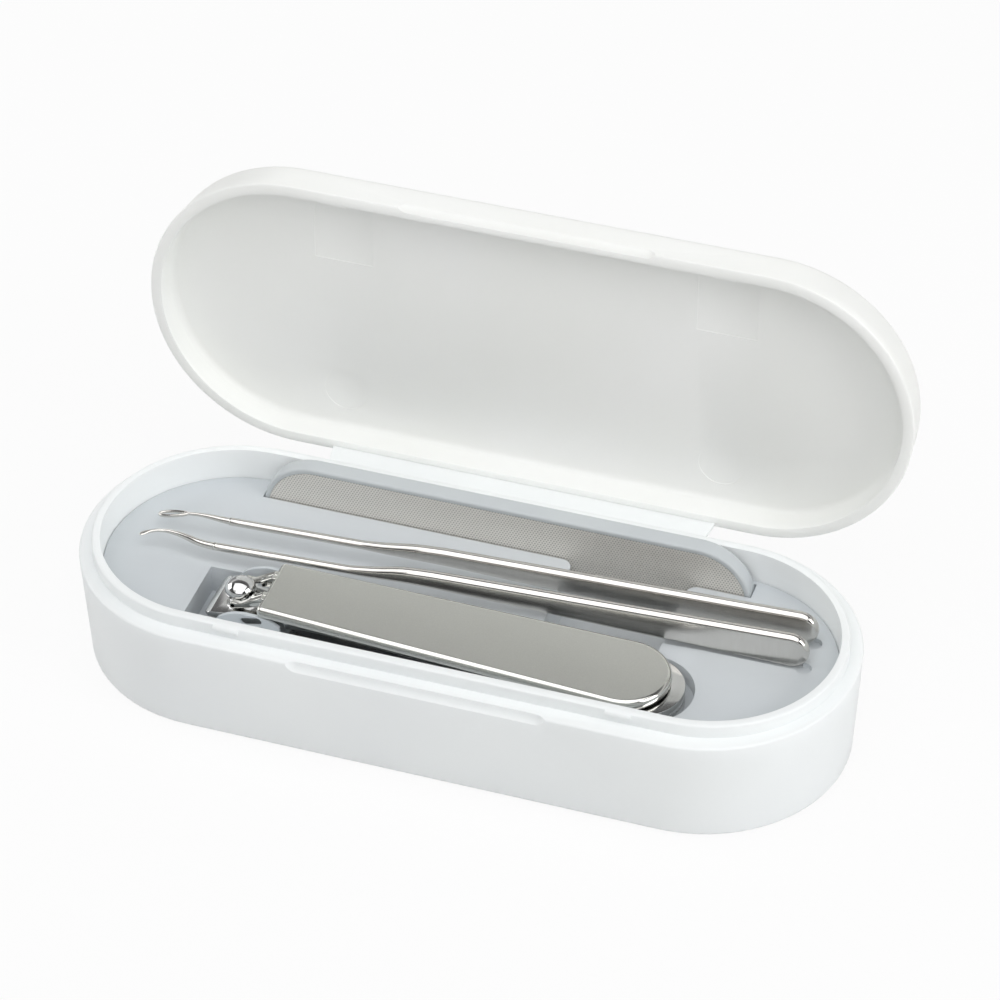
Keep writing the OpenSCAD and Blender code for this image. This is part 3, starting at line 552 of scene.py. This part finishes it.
def ear_pick():
    """Flat handle, round shank, and a bent neck that thins towards a small scoop."""
    rows = handle_rows(0.6) + eased([
        [-80, 0, 0.6, 0.72, 0.72], [-97.4, 0, 0.6, 0.7, 0.7], [-98.8, 0, 0.6, 0.6, 0.64],
        [-100.5, 0.08, 0.6, 0.58, 0.62], [-102.2, 0.4, 0.62, 0.55, 0.6],
        [-104.1, 1.0, 0.65, 0.48, 0.52], [-105.9, 1.45, 0.68, 0.4, 0.42],
        [-107.5, 1.62, 0.68, 0.33, 0.34], [-109, 1.5, 0.62, 0.29, 0.29],
        [-110.1, 1.2, 0.5, 0.28, 0.26], [-110.8, 0.9, 0.4, 0.42, 0.22],
        [-111.4, 0.55, 0.3, 0.5, 0.19], [-111.8, 0.3, 0.24, 0.36, 0.15],
        [-112, 0.18, 0.2, 0.1, 0.06]], steps=5)
    rod = drawn_rod("ear_pick_rod", rows, FRONT_TOOL, "pick")
    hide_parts("ear_pick")


loop_extractor()
ear_pick()


# ---- Clipper lever: a plate with a fat round rim, and the fork that holds it to the post

# All in mm, and the slope in degrees. The plate slopes down towards the clipper's tail
LEVER_T = 1.65
LEVER_RIM = 0.85
LEVER_SLOPE = 1.9
LEVER_LEFT = -30
LEVER_TOP = 20.7
# Middle plane of the clipper and, in that plane, the middle of the pin that the lever turns on
CLIP_Y = -9.8
PIN = Vector((-34.9, 17.905))


def ride_on_lever(piece):
    """Lets a piece move with the lever."""
    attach(piece, "lever")


def lever_plate():
    """Plate whose outline runs round a big circle at the tail and two small ones at the neck."""
    neck = 0.85
    circles = [
        (Vector((59.6, 0)), 7.6), (Vector((neck, 5.35)), neck), (Vector((neck, -5.35)), neck)]
    outline = []
    points = 144
    for i in range(points):
        angle = i / points * 2 * pi
        out = Vector((cos(angle), sin(angle)))
        centre, radius = max(circles, key=lambda c: c[0].dot(out) + c[1])
        outline.append((centre, radius, out))
    # Section from the underside to the top, as distance in from the outline and height
    section = [(0.2, 0), (0.15, 0), (0.04, 0.05), (0, 0.15)]
    steps = 10
    for i in range(steps + 1):
        angle = i / steps * pi / 2
        section.append((LEVER_RIM * (1 - cos(angle)), LEVER_T - LEVER_RIM * (1 - sin(angle))))
    # One more row keeps the shading of the rim off the flat top
    section.append((LEVER_RIM + 0.02, LEVER_T))
    mesh = bmesh.new()
    rings = []
    for inward, up in section:
        ring = []
        for centre, radius, out in outline:
            spot = centre + out * (radius - inward)
            ring.append(mesh.verts.new((spot.x * MM, spot.y * MM, up * MM)))
        rings.append(ring)
    for ring, following in zip(rings, rings[1:]):
        for j in range(points):
            k = (j + 1) % points
            face = mesh.faces.new([ring[j], ring[k], following[k], following[j]])
            face.smooth = True
    mesh.faces.new(rings[0])
    mesh.faces.new(rings[-1])
    plate = new_piece(mesh, "lever_plate", lever_steel)
    plate.location = (LEVER_LEFT * MM, CLIP_Y * MM, (LEVER_TOP - LEVER_T) * MM)
    plate.rotation_euler.y = radians(LEVER_SLOPE)
    ride_on_lever(plate)
    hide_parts("clipper_lever")


def lever_fork():
    """Two arms that slope down past the post's head to the cross pin, and the webs behind them."""
    # Side views as points (x, z). The arm ends in a half round eye about the pin
    arm = [(-28.7, 20.5), (-29.9, 20.67), (-30.2, 20.58), (-33.6, 18.505)]
    eye, steps = 0.6, 12
    for i in range(steps + 1):
        angle = pi / 2 + i / steps * pi
        arm.append((PIN.x + eye * cos(angle), PIN.y + eye * sin(angle)))
    arm.append((-28.7, 19.25))
    web = [(-28.7, 20.5), (-29.9, 20.67), (-30.2, 20.58), (-32.22, 19.345), (-32, 18.81),
           (-31.88, 18.251), (-28.7, 19.25)]
    mesh = bmesh.new()
    for side in (-1, 1):
        # Each profile runs from its inner to its outer distance from the middle plane
        for profile, inner, outer in ((arm, 2.62, 3.65), (web, 1.65, 2.64)):
            ends = [[mesh.verts.new((x * MM, (CLIP_Y + side * y) * MM, z * MM))
                     for x, z in profile] for y in (inner, outer)]
            mesh.faces.new(ends[0])
            mesh.faces.new(ends[1])
            for j in range(len(profile)):
                k = (j + 1) % len(profile)
                mesh.faces.new([ends[0][j], ends[0][k], ends[1][k], ends[1][j]])
    fork = new_piece(mesh, "lever_fork", lever_steel)
    finish_edges(fork, radius=0.16, segments=3, shading=round_shading)
    ride_on_lever(fork)


lever_plate()
lever_fork()


# ---- Floor, light and camera

def studio_floor():
    """Pale paper floor. The camera sees it near white, with the object's shadow kept faint."""
    material, tree = new_material("studio_paper")
    paper = add(tree, "ShaderNodeBsdfPrincipled", {
        "Base Color": linear("#E6E6E6"), "Roughness": 0.9})
    glow = add(tree, "ShaderNodeEmission", {"Color": (1, 1, 1, 1), "Strength": 1.0})
    path = add(tree, "ShaderNodeLightPath")
    share = add(tree, "ShaderNodeMath", {0: path.outputs["Is Camera Ray"], 1: 0.9},
                operation="MULTIPLY")
    mixed = add(tree, "ShaderNodeMixShader", {
        0: share.outputs[0], 1: paper.outputs["BSDF"], 2: glow.outputs["Emission"]})
    add(tree, "ShaderNodeOutputMaterial", {"Surface": mixed.outputs[0]})
    mesh = bmesh.new()
    bmesh.ops.create_grid(mesh, x_segments=2, y_segments=2, size=3)
    floor = new_piece(mesh, "studio_floor", material)
    # Just under the case, so that the two faces do not flicker
    floor.location.z = -0.2 * MM


def soft_box(name, place, size, watts, aim=(0, 0, 0.02)):
    """A rectangular area lamp at place that faces aim, all in metres."""
    data = bpy.data.lights.new(name, "AREA")
    data.shape = "RECTANGLE"
    data.size, data.size_y = size
    data.energy = watts
    lamp = bpy.data.objects.new(name, data)
    bpy.context.collection.objects.link(lamp)
    lamp.location = place
    lamp.rotation_euler = (Vector(aim) - Vector(place)).to_track_quat("-Z", "Y").to_euler()


def studio_world():
    """A plain room: white to the camera; else a wide white panel overhead and dimmer walls."""
    world = bpy.data.worlds.new("studio_world")
    bpy.context.scene.world = world
    world.use_nodes = True
    tree = world.node_tree
    tree.nodes.clear()
    place = add(tree, "ShaderNodeTexCoord").outputs["Generated"]
    # The panel hangs a little in front of the object and reaches about 36 degrees out from its
    # middle, with a dark ring round it and a grey band low on the walls, for the metals to mirror
    toward = add(tree, "ShaderNodeVectorMath", {0: place, 1: (0, -0.45, 0.9)},
                 operation="DOT_PRODUCT")
    room = add(tree, "ShaderNodeValToRGB", {"Fac": toward.outputs["Value"]},
               stops=[(0.0, 0.3), (0.28, 0.75), (0.4, 0.2), (0.74, 0.04), (0.81, 0.65)])
    path = add(tree, "ShaderNodeLightPath")
    # Sockets 0, 6 and 7 of a colour mix are the share and the two colours
    colour = add(tree, "ShaderNodeMix", {
        0: path.outputs["Is Camera Ray"], 6: room.outputs["Color"], 7: (1, 1, 1, 1)},
        data_type="RGBA")
    seen = add(tree, "ShaderNodeMath", {
        0: path.outputs["Is Camera Ray"], 1: path.outputs["Is Glossy Ray"]}, operation="MAXIMUM")
    seen = add(tree, "ShaderNodeMath", {
        0: seen.outputs[0], 1: path.outputs["Is Transmission Ray"]}, operation="MAXIMUM")
    # Diffuse surfaces get a little less light than the room shows
    level = add(tree, "ShaderNodeMapRange", {
        "Value": seen.outputs[0], "To Min": 0.7, "To Max": 1.0})
    back = add(tree, "ShaderNodeBackground", {
        "Color": colour.outputs[2], "Strength": level.outputs["Result"]})
    add(tree, "ShaderNodeOutputWorld", {"Surface": back.outputs["Background"]})


studio_floor()
studio_world()
soft_box("right_box", (0.75, -0.15, 0.4), (0.5, 0.5), 2.9)
soft_box("left_box", (-0.8, 0.0, 0.35), (0.5, 0.4), 1.5)
soft_box("top_box", (0.0, -0.2, 0.9), (1.4, 1.0), 5.0)
soft_box("front_box", (0.1, -0.85, 0.6), (0.9, 0.5), 1.5, aim=(0, 0, 0.03))
soft_box("back_box", (-0.2, 0.9, 0.4), (0.7, 0.4), 1.4, aim=(0, 0, 0.03))

# The camera stands where the photograph was taken from, fitted to the case's rims
camera_data = bpy.data.cameras.new("photo_camera")
camera_data.sensor_width = 36
camera_data.lens = 155.19
camera = bpy.data.objects.new("photo_camera", camera_data)
bpy.context.collection.objects.link(camera)
camera.location = (0.17629, -0.49471, 0.46849)
camera.rotation_euler = Euler([radians(a) for a in (50.6554, 0.5451, 18.5469)], "XYZ")
bpy.context.scene.camera = camera

bpy.context.scene.view_settings.view_transform = "Standard"
